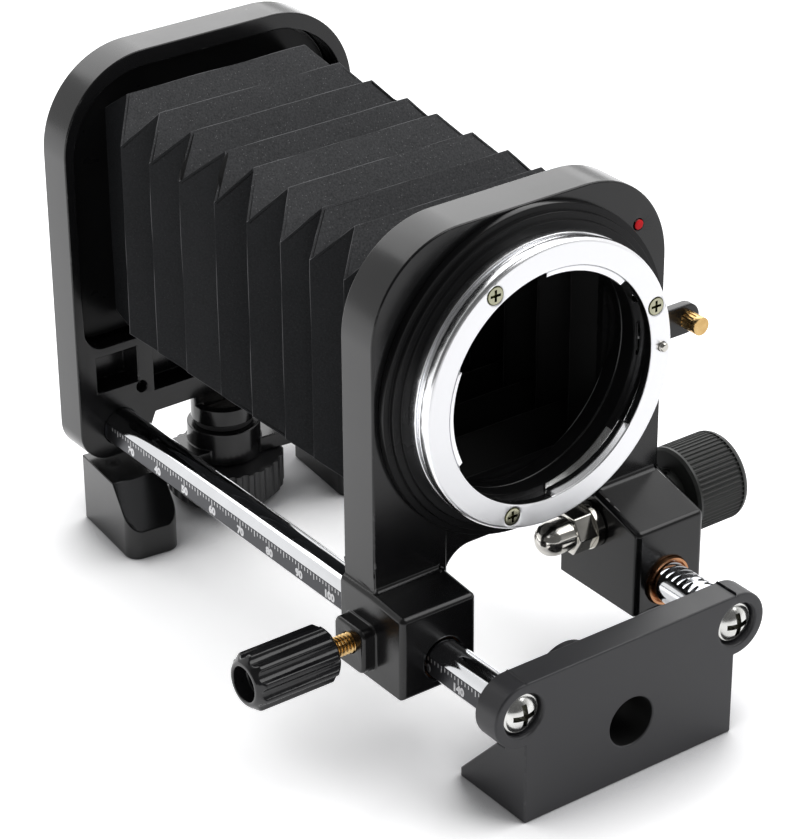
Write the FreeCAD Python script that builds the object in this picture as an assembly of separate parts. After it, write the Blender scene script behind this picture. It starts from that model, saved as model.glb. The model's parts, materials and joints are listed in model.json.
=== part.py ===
import FreeCAD, Part
import math
import os

os.makedirs("parts", exist_ok=True)
V = FreeCAD.Vector

# Macro bellows unit, millimetres. +Z is up, +Y runs to the rear, where the camera goes.
# Origin: mouth of the tripod socket, under the front face of the rear standard.

# ---- clearances ----
running = 0.05          # radial gap of a shaft that turns or slides in its hole
apart = 0.3             # gap between faces of two bodies that move past each other
thread_gap = 0.04       # radial gap between a screw and its hole
beyond = 1.0            # how far a cutting tool runs past the face that it cuts

# ---- the two rails ----
rail_spread = 50.2      # between the two rail axes
rail_height = 23.5      # rail axes above the table
rail_diameter = 8.0
frame_length = 134.0    # front of the rear standard to the front of the front plate
scale_flat_depth = 0.45  # milled off the outer side of the scale rail
rail_tap_depth = 11.0   # tapped hole in each rail's front end

# ---- rack and pinion ----
gear_module = 0.5
pinion_teeth = 21
pressure_angle = math.radians(20.0)
gear_backlash = 0.08
pinion_width = 7.0
rack_end_gap = 2.0      # plain rail left at each end of the rack
rack_rear_end = 15.0    # rack stops this far in front of the rear standard

# ---- front plate ----
plate_thickness = 6.0
plate_width = 49.4
ear_radius = 6.5        # round ears about the rails
rail_socket_depth = 2.5
toe_depth = 13.0        # wedge-shaped foot behind the plate
toe_height = 1.9
wedge_height = 13.2
wedge_land = 2.4        # level top of the wedge next to the plate
rod_hole_radius = 5.0
rod_hole_height = 12.2
rod_boss_radius = 7.2
rod_boss_length = 14.0
plate_screw_head_radius = 4.1
plate_screw_head_height = 2.5
plate_screw_proud = 0.5
plate_screw_radius = 2.0
rod_screw_radius = 1.5

# ---- rear standard ----
rear_depth = 8.2
rear_half_width = 34.6
rear_drop = 6.5         # under edge below the rail axes
rear_rise = 33.4        # top above the optical axis
standard_corner_radius = 19.5
rear_low_corner_radius = 7.0
rear_rim = 2.2          # rim left and right of the recess
rear_top_rim = 3.5
recess_drop = 28.4      # floor of both recesses below the optical axis
recess_depth = 5.5
recess_corner_radius = 17.0
recess_low_corner_radius = 4.5
web_rise = 0.6          # under edge of the web between the rail bosses, above the rail axes
notch_top_half_width = 16.5
notch_low_half_width = 19.5
pocket_inner_x = 20.4
pocket_outer_x = 30.1
pocket_rise = 9.1       # pockets start this far above the rail axes
pocket_top_wall = 2.1
middle_pocket_wall = 5.2
middle_rib_half_width = 2.0
core_hole_radius = 1.2
core_hole_x = 19.6
core_hole_rise = 7.5
core_hole_depth = 2.5
rail_end_wall = 1.2
rear_throat_radius = 20.5
camera_boss_radius = 31.5
camera_boss_length = 4.0

# ---- camera bayonet at the rear ----
camera_flange_thickness = 1.8
camera_flange_radius = 30.0
camera_barrel_radius = 21.8
camera_barrel_length = 4.6
camera_tab_radius = 23.4
camera_tab_thickness = 1.4
camera_tab_angle = 52.0
camera_tab_places = (64.0, 180.0, 300.0)
camera_screw_circle = 26.6

# ---- tripod mount and swivelling foot ----
tripod_thread_radius = 3.175
tripod_thread_depth = 9.0
stud_radius = 5.0
stud_recess = 0.8
pivot_boss_radius = 6.9
pivot_boss_drop = 5.0       # under side of the pivot boss below the rail axes
pivot_boss_length = 3.8
foot_clearance = 2.0        # from the foot up to the rear standard
foot_inner_x = 19.4
foot_outer_x = 31.0
foot_front = 17.4       # toes in front of the pivot
foot_rear = 4.6
foot_slope_start = 10.0
foot_toe_height = 6.4
foot_corner_radius = 3.0
foot_turn_degrees = -6.0
bar_height = 3.5
bar_half_depth = 5.2
swivel_boss_radius = 7.8
swivel_boss_length = 7.6
washer_thickness = 1.0
washer_radius = 6.2
wheel_radius = 12.5
wheel_bottom = 0.6
wheel_flutes = 28
wheel_flute_radius = 1.0
wheel_chamfer = 1.5
grub_radius = 1.5
grub_length = 5.0

# ---- front standard ----
standard_setback = 27.25    # from the front plate's back to the standard's face
front_thickness = 9.35
front_half_width = 33.5
front_rise = 32.5
arch_wall = 0.2         # from the arch up to the lens mount's base
arch_corner_radius = 6.0    # beside the scale rail; the shaft collar fills the other corner
front_rim = 2.2
front_recess_depth = 5.6
block_drop = 6.1        # under side of the blocks below the rail axes
block_inner_x = 17.6
scale_block_outer_x = 34.5
scale_block_length = 9.75    # in front of the plate
scale_block_top = 11.2  # above the rail axes
scale_block_rise = 0.9
rack_block_outer_x = 34.0
rack_block_length = 13.25
rack_block_top = 12.1
rack_block_rise = 3.8
block_edge_radius = 1.2
block_root_radius = 1.2     # where the top of a block meets the standard's face
bush_radius = 4.85
bush_proud = 0.8        # the rack rail's front bush stands out of its block
bush_rim = 0.45         # wall of that bush about its wider mouth
bush_mouth_depth = 1.0
bush_lip = 1.2          # casting in front of the scale rail's bush
throat_radius = 23.4

# ---- lens bayonet at the front ----
base_radius = 32.3
base_step = 1.35        # each step of the base is this much smaller
base_over_nut = 1.95    # clear height between the acorn nut and the base
base_step_lengths = (1.65, 1.0, 0.7)
ring_radius = 28.1
ring_depth = 5.4
ring_groove_width = 1.2
ring_groove_depth = 0.7
ring_groove_place = 2.6
ring_chamfer = 0.5
ring_mouth_radius = 23.1
ring_relief_radius = 24.6
lug_radius = 21.8
lug_depth = 1.9
lug_chamfer = 0.5
lug_angles = ((44.0, 94.0), (156.0, 205.0), (271.0, 323.0))
ring_screw_circle = 25.5
ring_screw_reach = 2.5      # into the standard
ring_screw_angles = (20.0, 121.0, 250.0)
small_screw_radius = 1.0
small_screw_head_radius = 1.9
small_screw_head_height = 0.95
leaf_thickness = 0.35
leaf_angle = 40.0
index_x = 26.65
index_rise = 21.1       # above the optical axis
index_radius = 1.0
index_recess = 0.3
index_proud = 0.2

# ---- lens release ----
lock_pin_x = 25.8
lock_pin_radius = 0.9
lock_pin_proud = 0.9
lock_pin_tail_radius = 0.6
lock_pin_tail = 2.4
arm_thickness = 2.0
arm_height = 6.1
arm_inner_x = 24.5
arm_end_x = 39.8
release_travel = 1.1
thumb_pin_radius = 1.8
thumb_pin_length = 4.0
thumb_pin_cap = 1.2         # plain end in front of the grooves
thumb_pin_collar = 0.3      # plain part next to the arm
thumb_pin_grooves = 14
thumb_pin_groove_radius = 0.22
thumb_pin_neck_radius = 1.1
release_spring_wire = 0.2
release_spring_radius = 1.1
release_spring_turns = 5

# ---- scale rail lock ----
lock_setback = 2.7      # screw's axis behind the standard's face
lock_rise = 1.8         # above the rail axes
lock_boss_proud = 3.0
lock_boss_depth = 9.1
lock_boss_height = 9.2
lock_boss_drop = 5.2    # under side below the screw's axis
lock_boss_corner_radius = 1.8
lock_boss_edge_radius = 0.7
lock_screw_radius = 2.0
lock_pad_length = 3.4
lock_pad_gap = 0.4
lock_knob_gap = 4.9
lock_knob_radius = 5.6
lock_knob_neck_radius = 4.6
lock_knob_neck = 0.9
lock_knob_grip = 15.8
lock_knob_chamfer = 1.45
lock_knob_end_recess_radius = 3.4
lock_knob_end_recess = 3.0
lock_knob_flutes = 10
lock_knob_flute_radius = 1.5

# ---- focus drive ----
pinion_setback = 0.25   # shaft's axis behind the standard's face
shaft_radius = 2.5
shaft_bush_radius = 3.5
knob_inner_x = 37.0
knob_outer_x = 50.0
knob_radius = 8.95
knob_edge_radius = 1.6
knob_inner_chamfer = 0.5
knob_rib_start = 1.0    # plain part next to the standard
knob_ribs = 56
knob_rib_depth = 0.45
knob_hub_radius = 5.0
knob_end_wall = 3.0     # solid end of the knob beyond the shaft
knob_screw_radius = 1.2
collar_radius = 4.6
collar_length = 1.7
nut_across_flats = 7.8
nut_length = 4.3
nut_dome_radius = 3.4
nut_barrel_length = 3.4     # plain barrel between the hexagon and its round end

# ---- bellows ----
bellows_wall = 0.6
ridge_half_width = 21.3     # the ridges over the top and under the bottom
ridge_down = 27.4           # below the optical axis
ridge_up = 26.4             # above it
side_half_width = 27.5      # the ridges at the sides
side_down = 21.6
side_up = 19.2
end_half_width = 22.5
end_down = 23.0
end_up = 21.6
first_ridge = 6.9           # from the rear frame to the first ridge
last_ridge = 4.6            # from the last ridge to the front frame
pleat_count = 9
frame_thickness = 1.5
frame_margin = 0.9          # between a bellows frame and the recess about it

# ---- places worked out from the sizes above ----
rail_x = rail_spread / 2
rail_radius = rail_diameter / 2
plate_front = -frame_length
plate_back = plate_front + plate_thickness
rail_front = plate_back - rail_socket_depth
rail_rear = rear_depth - rail_end_wall
rail_top = rail_height + rail_radius
pinion_pitch_radius = gear_module * pinion_teeth / 2
pinion_outer_radius = pinion_pitch_radius + gear_module
pinion_height = rail_top - gear_module + pinion_pitch_radius
nut_top = pinion_height + nut_across_flats / math.sqrt(3)
lens_height = nut_top + base_over_nut + base_radius
base_step_radii = [base_radius - base_step * step for step in range(3)]
front_face = plate_back + standard_setback
pinion_y = front_face + pinion_setback
lock_y = front_face + lock_setback
rear_low = rail_height - rear_drop
web_low = rail_height + web_rise
pivot_boss_low = rail_height - pivot_boss_drop
pivot_boss_high = pivot_boss_low + pivot_boss_length
swivel_boss_high = pivot_boss_low - apart - washer_thickness
bar_low = swivel_boss_high - swivel_boss_length
foot_height = rear_low - foot_clearance
rear_high = lens_height + rear_rise
recess_floor = lens_height - recess_drop
pocket_low = rail_height + pocket_rise
pocket_high = recess_floor - pocket_top_wall
middle_pocket_low = web_low + middle_pocket_wall
core_hole_height = rail_height + core_hole_rise
rear_recess_half_width = rear_half_width - rear_rim
rear_recess_high = rear_high - rear_top_rim
front_back = front_face + front_thickness
front_recess_half_width = front_half_width - front_rim
front_high = lens_height + front_rise
front_recess_high = front_high - front_rim
arch_height = lens_height - base_radius - arch_wall
block_low = rail_height - block_drop
scale_block_high = rail_height + scale_block_top
rack_block_high = rail_height + rack_block_top
front_recess_face = front_back - front_recess_depth
scale_block_front = front_face - scale_block_length
rack_block_front = front_face - rack_block_length
index_height = lens_height + index_rise
ring_back = front_face - sum(base_step_lengths)
ring_front = ring_back - ring_depth
arm_front = ring_back + apart
arm_back = arm_front + arm_thickness
arm_recess_face = arm_back + release_travel + 2 * apart
camera_boss_back = rear_depth + camera_boss_length
camera_flange_back = camera_boss_back + camera_flange_thickness
rear_frame_front = recess_depth - frame_thickness
front_frame_back = front_recess_face + frame_thickness
wheel_top = bar_low - apart
bar_high = bar_low + bar_height
lock_height = rail_height + lock_rise
lock_flat_x = -(rail_x + rail_radius - scale_flat_depth)
lock_boss_face = -(scale_block_outer_x + lock_boss_proud)
lock_pad_tip = lock_flat_x - lock_pad_gap
lock_pad_back = lock_pad_tip - lock_pad_length
lock_knob_face = lock_boss_face - lock_knob_gap
ridge_low = lens_height - ridge_down
ridge_high = lens_height + ridge_up
side_low = lens_height - side_down
side_high = lens_height + side_up
pleats_length = rear_frame_front - first_ridge - (front_frame_back + last_ridge)
pleat_pitch = pleats_length / (pleat_count - 1)
end_low = lens_height - end_down
end_high = lens_height + end_up


# ---- shapes used again and again ----
def box(x0, x1, y0, y1, z0, z1):
    return Part.makeBox(x1 - x0, y1 - y0, z1 - z0, V(x0, y0, z0))


def rod_x(radius, x0, x1, y, z):
    return Part.makeCylinder(radius, x1 - x0, V(x0, y, z), V(1, 0, 0))


def rod_y(radius, y0, y1, x, z):
    return Part.makeCylinder(radius, y1 - y0, V(x, y0, z), V(0, 1, 0))


def rod_z(radius, z0, z1, x, y):
    return Part.makeCylinder(radius, z1 - z0, V(x, y, z0), V(0, 0, 1))


def cut_all(shape, tools):
    return shape.cut(Part.makeCompound(tools)) if tools else shape


def join(shapes):
    whole = shapes[0]
    for shape in shapes[1:]:
        whole = whole.fuse(shape)
    return whole.removeSplitter()


def corner_arc(x, z, radius, start, y):
    """Quarter circle about (x, z) in the plane y, from the angle start."""
    points = []
    for degrees in (start, start + 45.0, start + 90.0):
        angle = math.radians(degrees)
        points.append(V(x + radius * math.cos(angle), y, z + radius * math.sin(angle)))
    return Part.Arc(*points).toShape()


def slab(half_width, low, high, low_radius, high_radius, y0, y1):
    """Upright plate with rounded corners, between y0 and y1."""
    corners = (
        (half_width, low, 1, 1, low_radius, 270.0),
        (half_width, high, 1, -1, high_radius, 0.0),
        (-half_width, high, -1, -1, high_radius, 90.0),
        (-half_width, low, -1, 1, low_radius, 180.0),
    )
    arcs = []
    for x, z, side, up, radius, start in corners:
        arcs.append(corner_arc(x - side * radius, z + up * radius, radius, start, y0))
    edges = []
    for index, arc in enumerate(arcs):
        following = arcs[(index + 1) % len(arcs)]
        edges.append(arc)
        edges.append(Part.makeLine(arc.Vertexes[-1].Point, following.Vertexes[0].Point))
    return Part.Face(Part.Wire(edges)).extrude(V(0, y1 - y0, 0))


def prism_x(points, x0, x1):
    """Outline of (y, z) points, carried from x0 to x1."""
    corners = [V(x0, y, z) for y, z in points]
    return Part.Face(Part.makePolygon(corners + corners[:1])).extrude(V(x1 - x0, 0, 0))


def prism_y(points, y0, y1):
    """Outline of (x, z) points, carried from y0 to y1."""
    corners = [V(x, y0, z) for x, z in points]
    return Part.Face(Part.makePolygon(corners + corners[:1])).extrude(V(0, y1 - y0, 0))


def turned(points, origin, axis, across, degrees=360.0):
    """Body of revolution: (radius, distance) points turned about axis through origin."""
    corners = [origin + across * radius + axis * distance for radius, distance in points]
    face = Part.Face(Part.makePolygon(corners + corners[:1]))
    return face.revolve(origin, axis, degrees)


def placed(shape, place, direction):
    """Move a shape made along +Z at the origin so that it starts at place along direction."""
    copy = shape.copy()
    copy.Placement = FreeCAD.Placement(place, FreeCAD.Rotation(V(0, 0, 1), direction))
    return copy


def cross_slot(width, length, depth, top):
    arm = Part.makeBox(length, width, depth, V(-length / 2, -width / 2, top - depth))
    other = arm.copy()
    other.rotate(V(0, 0, 0), V(0, 0, 1), 90.0)
    return arm.fuse(other)


def pan_screw(head_radius, head_height, shank_radius, shank_length):
    """Cross-head screw along +Z: the head is above z = 0 and the shank below."""
    sphere_radius = (head_radius ** 2 + head_height ** 2) / (2 * head_height)
    ball = Part.makeSphere(sphere_radius, V(0, 0, head_height - sphere_radius))
    rim = 0.35 * head_height
    dome = ball.common(Part.makeCylinder(head_radius, head_height, V(0, 0, 0)))
    head = dome.fuse(Part.makeCylinder(0.97 * head_radius, rim))
    shank = Part.makeCylinder(shank_radius, shank_length + rim / 2, V(0, 0, -shank_length))
    screw = head.fuse(shank)
    slot = cross_slot(0.26 * head_radius, 1.15 * head_radius, 0.55 * head_height, head_height)
    return screw.cut(slot)


def flush_screw(head_radius, head_height, shank_radius, shank_length):
    """Countersunk cross-head screw along +Z, with its flat top at z = 0."""
    head = Part.makeCone(shank_radius, head_radius, head_height, V(0, 0, -head_height))
    shank = Part.makeCylinder(shank_radius, shank_length, V(0, 0, -shank_length))
    slot = cross_slot(0.28 * head_radius, 1.2 * head_radius, 0.5 * head_height, 0.0)
    return head.fuse(shank).cut(slot)


def grub_screw(radius, length):
    """Headless screw along +Z with a hexagon socket in its top."""
    socket_radius = 0.5 * radius
    corners = []
    for step in range(6):
        angle = math.radians(60.0 * step)
        corners.append(V(socket_radius * math.cos(angle), socket_radius * math.sin(angle), length))
    socket = Part.Face(Part.makePolygon(corners + corners[:1])).extrude(V(0, 0, -0.4 * length))
    return Part.makeCylinder(radius, length).cut(socket)


def around_lens(radius, degrees):
    """Point (x, z) at an angle about the optical axis, seen from the front."""
    angle = math.radians(degrees)
    return radius * math.cos(angle), lens_height + radius * math.sin(angle)


def ring_piece(points, start, degrees):
    """(radius, y) outline turned about the optical axis from an angle seen from the front."""
    angle = math.radians(start)
    across = V(math.cos(angle), 0, math.sin(angle))
    # Turning about -Y runs the same way as the angle, from +X towards +Z.
    corners = [V(0, y, lens_height) + across * radius for radius, y in points]
    face = Part.Face(Part.makePolygon(corners + corners[:1]))
    return face.revolve(V(0, 0, lens_height), V(0, -1, 0), degrees)


# ---- rails ----
def make_rail(side):
    rail = rod_y(rail_radius, rail_front, rail_rear, side * rail_x, rail_height)
    tapped = rod_y(plate_screw_radius, rail_front - beyond, rail_front + rail_tap_depth,
                   side * rail_x, rail_height)
    return rail.cut(tapped)


def make_scale_rail():
    flat = box(-rail_x - rail_radius - beyond, lock_flat_x, plate_back, 0,
               rail_height - rail_radius, rail_height + rail_radius)
    return make_rail(-1).cut(flat)


def make_rack_rail():
    pitch = math.pi * gear_module
    pitch_line = rail_top - gear_module
    root = pitch_line - 1.25 * gear_module
    top = rail_top + beyond
    slope = math.tan(pressure_angle)
    low_half = pitch / 4 - (pitch_line - root) * slope
    high_half = pitch / 4 + (top - pitch_line) * slope
    first = math.ceil((plate_back + rack_end_gap - pinion_y) / pitch)
    last = math.floor((-rack_rear_end - pinion_y) / pitch)
    gaps = []
    for number in range(first, last):
        y = pinion_y + (number + 0.5) * pitch
        outline = ((y - high_half, top), (y - low_half, root), (y + low_half, root), (y + high_half, top))
        gaps.append(prism_x(outline, rail_x - rail_radius, rail_x + rail_radius))
    return cut_all(make_rail(1), gaps)


# ---- front plate ----
def make_front_plate():
    top = rail_height + ear_radius
    half = plate_width / 2
    shapes = [box(-half, half, plate_front, plate_back, 0, top)]
    for side in (-1, 1):
        shapes.append(rod_y(ear_radius, plate_front, plate_back, side * rail_x, rail_height))
    wedge = ((plate_back, 0), (plate_back + toe_depth, 0), (plate_back + toe_depth, toe_height),
             (plate_back + wedge_land, wedge_height), (plate_back, wedge_height))
    shapes.append(prism_x(wedge, -half, half))
    boss_back = plate_back + rod_boss_length
    shapes.append(rod_y(rod_boss_radius, plate_back, boss_back, 0, rod_hole_height))
    plate = join(shapes)
    tools = [rod_y(rod_hole_radius, plate_front - beyond, boss_back + beyond, 0, rod_hole_height)]
    seat = plate_front + plate_screw_head_height - plate_screw_proud
    for side in (-1, 1):
        x = side * rail_x
        tools.append(rod_y(rail_radius, rail_front, plate_back + beyond, x, rail_height))
        tools.append(rod_y(plate_screw_radius + thread_gap, plate_front, plate_back, x, rail_height))
        tools.append(rod_y(plate_screw_head_radius + apart, plate_front - beyond, seat, x, rail_height))
    tools.append(rod_z(rod_screw_radius + thread_gap, -beyond, rod_hole_height, 0, rod_screw_y()))
    return plate.cut(tools[0]).cut(Part.makeCompound(tools[1:]))


def rod_screw_y():
    return plate_back + rod_boss_length / 2


def make_front_plate_screws():
    seat = plate_front + plate_screw_head_height - plate_screw_proud
    length = rail_front - seat + rail_tap_depth - beyond
    screw = pan_screw(plate_screw_head_radius, plate_screw_head_height,
                      plate_screw_radius - thread_gap, length)
    screws = []
    for side in (-1, 1):
        screws.append(placed(screw, V(side * rail_x, seat, rail_height), V(0, -1, 0)))
    return Part.makeCompound(screws)


def make_rod_set_screw():
    length = rod_hole_height - rod_hole_radius - beyond
    screw = grub_screw(rod_screw_radius, length)
    return placed(screw, V(0, rod_screw_y(), length + beyond / 2), V(0, 0, -1))


# ---- rear standard ----
def make_rear_standard():
    body = slab(rear_half_width, rear_low, rear_high, rear_low_corner_radius,
                standard_corner_radius, 0, rear_depth)
    notch = ((-notch_low_half_width, rear_low), (-notch_top_half_width, web_low),
             (notch_top_half_width, web_low), (notch_low_half_width, rear_low),
             (notch_low_half_width, rear_low - beyond), (-notch_low_half_width, rear_low - beyond))
    body = body.cut(prism_y(notch, -beyond, rear_depth + beyond))
    boss = rod_z(pivot_boss_radius, pivot_boss_low, pivot_boss_high, 0, 0)
    root = rod_z(pivot_boss_radius, pivot_boss_low, web_low + beyond, 0, 0)
    root = root.common(box(-pivot_boss_radius, pivot_boss_radius, 0, rear_depth,
                           pivot_boss_low, web_low + beyond))
    camera_boss = rod_y(camera_boss_radius, rear_depth, camera_boss_back, 0, lens_height)
    body = join([body, boss, root, camera_boss])
    recess = slab(rear_recess_half_width, recess_floor, rear_recess_high,
                  recess_low_corner_radius, recess_corner_radius, -beyond, recess_depth)
    tools = [recess]
    for side in (-1, 1):
        outer = sorted((side * pocket_inner_x, side * pocket_outer_x))
        inner = sorted((side * middle_rib_half_width, side * notch_top_half_width))
        tools.append(box(*outer, -beyond, recess_depth, pocket_low, pocket_high))
        tools.append(box(*inner, -beyond, recess_depth, middle_pocket_low, pocket_high))
        tools.append(rod_y(core_hole_radius, -beyond, core_hole_depth, side * core_hole_x, core_hole_height))
        tools.append(rod_y(rail_radius, -beyond, rail_rear, side * rail_x, rail_height))
        tools.append(rod_z(grub_radius + thread_gap, rear_low - beyond, rail_height,
                           side * rail_x, rail_grub_y()))
    body = cut_all(body, tools)
    body = body.cut(rod_y(rear_throat_radius, 0, camera_boss_back + beyond, 0, lens_height))
    body = body.cut(rod_z(stud_radius, pivot_boss_low - beyond, stud_top(), 0, 0))
    cup = rod_z(stud_radius, pivot_boss_low, pivot_boss_high + beyond, 0, 0)
    body = body.cut(cup.common(box(-stud_radius, stud_radius, -stud_radius, 0,
                                   pivot_boss_low, pivot_boss_high + beyond)))
    body = body.cut(rod_y(grub_radius + thread_gap, 0, rear_depth + beyond, 0, stud_grub_height()))
    tapped = []
    for x, z in camera_screw_places():
        tapped.append(rod_y(small_screw_radius + thread_gap, rear_depth - beyond,
                            camera_boss_back + beyond, x, z))
    return cut_all(body, tapped)


def rail_grub_y():
    return recess_depth - grub_radius


def stud_top():
    return pivot_boss_high - stud_recess


def stud_grub_height():
    return (pivot_boss_low + stud_top()) / 2


def camera_screw_places():
    return [around_lens(camera_screw_circle, degrees) for degrees in (45.0, 135.0, 225.0, 315.0)]


def make_rail_grub_screws():
    top = rail_height - rail_radius
    screw = grub_screw(grub_radius, top - rear_low - thread_gap)
    screws = []
    for side in (-1, 1):
        screws.append(placed(screw, V(side * rail_x, rail_grub_y(), top - thread_gap), V(0, 0, -1)))
    return Part.makeCompound(screws)


def make_stud_grub_screw():
    length = rear_depth - stud_radius - beyond
    return placed(grub_screw(grub_radius, length), V(0, stud_radius + thread_gap, stud_grub_height()),
                  V(0, 1, 0))


def make_tripod_socket():
    stud = rod_z(stud_radius, 0, stud_top(), 0, 0)
    return stud.cut(rod_z(tripod_thread_radius, -beyond, tripod_thread_depth, 0, 0))


# ---- camera bayonet ----
def make_camera_mount():
    back = camera_flange_back
    end = back + camera_barrel_length
    body = join([
        rod_y(camera_flange_radius, camera_boss_back, back, 0, lens_height),
        rod_y(camera_barrel_radius, back, end, 0, lens_height),
    ])
    start = end - camera_tab_thickness
    outline = ((camera_barrel_radius - beyond, start), (camera_tab_radius, start),
               (camera_tab_radius, end), (camera_barrel_radius - beyond, end))
    for place in camera_tab_places:
        body = body.fuse(ring_piece(outline, place - camera_tab_angle / 2, camera_tab_angle))
    body = body.removeSplitter()
    body = body.cut(rod_y(rear_throat_radius, camera_boss_back - beyond, end + beyond, 0, lens_height))
    tools = []
    for x, z in camera_screw_places():
        tools.append(rod_y(small_screw_radius + thread_gap, camera_boss_back - beyond, back + beyond, x, z))
        cone = Part.makeCone(small_screw_radius + thread_gap, small_screw_head_radius + thread_gap,
                             small_screw_head_height)
        tools.append(placed(cone, V(x, back - small_screw_head_height, z), V(0, 1, 0)))
    for tool in tools:
        body = body.cut(tool)
    return body


def make_camera_mount_screws():
    length = camera_flange_thickness + camera_boss_length
    screw = flush_screw(small_screw_head_radius, small_screw_head_height, small_screw_radius, length)
    screws = [placed(screw, V(x, camera_flange_back, z), V(0, 1, 0)) for x, z in camera_screw_places()]
    return Part.makeCompound(screws)


# ---- swivelling foot and tripod wheel ----
def turned_foot(shape):
    copy = shape.copy()
    copy.rotate(V(0, 0, 0), V(0, 0, 1), foot_turn_degrees)
    return copy


def make_swivel_foot():
    toe = -foot_front
    profile = ((toe, 0), (foot_rear, 0), (foot_rear, foot_height), (-foot_slope_start, foot_height),
               (toe, foot_toe_height))
    shapes = []
    for side in (-1, 1):
        x0, x1 = sorted((side * foot_inner_x, side * foot_outer_x))
        foot = prism_x(profile, x0, x1)
        shapes.append(foot.makeFillet(foot_corner_radius, toe_edges(foot)))
    shapes.append(box(-foot_inner_x - beyond, foot_inner_x + beyond, -bar_half_depth,
                      min(bar_half_depth, foot_rear), bar_low, bar_high))
    shapes.append(rod_z(swivel_boss_radius, bar_low, swivel_boss_high, 0, 0))
    body = join(shapes)
    body = body.cut(rod_z(stud_radius + running, bar_low - beyond, swivel_boss_high + beyond, 0, 0))
    return turned_foot(body)


def toe_edges(foot):
    """The two upright edges at the toe."""
    edges = []
    for edge in foot.Edges:
        ends = [vertex.Point for vertex in edge.Vertexes]
        at_toe = all(abs(point.y + foot_front) < 1e-6 for point in ends)
        upright = abs(ends[0].x - ends[1].x) < 1e-6
        if at_toe and upright:
            edges.append(edge)
    return edges


def make_swivel_washer():
    ring = rod_z(washer_radius, swivel_boss_high, pivot_boss_low - apart, 0, 0)
    return ring.cut(rod_z(stud_radius + running, swivel_boss_high - beyond, pivot_boss_low, 0, 0))


def make_tripod_wheel():
    bore = stud_radius + running
    outline = ((bore, wheel_bottom), (wheel_radius - wheel_chamfer, wheel_bottom),
               (wheel_radius, wheel_bottom + wheel_chamfer), (wheel_radius, wheel_top), (bore, wheel_top))
    wheel = turned(outline, V(0, 0, 0), V(0, 0, 1), V(1, 0, 0))
    flutes = []
    for number in range(wheel_flutes):
        angle = 2 * math.pi * number / wheel_flutes
        reach = wheel_radius + 0.45 * wheel_flute_radius
        flutes.append(rod_z(wheel_flute_radius, wheel_bottom - beyond, wheel_top + beyond,
                            reach * math.cos(angle), reach * math.sin(angle)))
    return cut_all(wheel, flutes)


# ---- front standard ----
def block_profile(front, high, rise):
    return ((front, block_low), (front_back, block_low), (front_back, high + rise),
            (front_face, high + rise), (front, high))


def rounded_block(block):
    """Block with its front edges and its sloping top edges rounded."""
    edges = [edge for edge in block.Edges if edge.BoundBox.YMax < front_face + 1e-6]
    return block.makeFillet(block_edge_radius, edges)


def block_root(front, high, rise, x0, x1):
    """Concave rounding between the sloping top of a block and the standard's face."""
    slope = math.atan2(rise, front_face - front)
    radius = block_root_radius
    centre_y = front_face - radius
    centre_z = high + rise - radius * math.tan(slope) + radius / math.cos(slope)
    touch = (centre_y + radius * math.sin(slope), centre_z - radius * math.cos(slope))
    # It reaches a little into the block and the plate, so that all three join.
    filled = ((front_face + beyond, centre_z), (centre_y, centre_z), touch, (touch[0], touch[1] - beyond),
              (front_face + beyond, high + rise - beyond))
    wedge = prism_x(filled, x0 + block_edge_radius, x1 - block_edge_radius)
    return wedge.cut(rod_x(radius, x0, x1, centre_y, centre_z))


def arch_corner():
    """Rounded corner of the arch beside the scale rail's block."""
    x = arch_corner_radius - block_inner_x
    z = arch_height - arch_corner_radius
    corner = box(-block_inner_x, x, front_face, front_back, z, arch_height)
    return corner.cut(rod_y(arch_corner_radius, front_face - beyond, front_back + beyond, x, z))


def scale_bush_front():
    return scale_block_front + bush_lip


def rack_bush_front():
    return rack_block_front - bush_proud


def pinion_cavity():
    low = rail_x - pinion_width / 2 - apart
    high = rail_x + pinion_width / 2 + apart
    return rod_x(pinion_outer_radius + apart, low, high, pinion_y, pinion_height)


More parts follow.
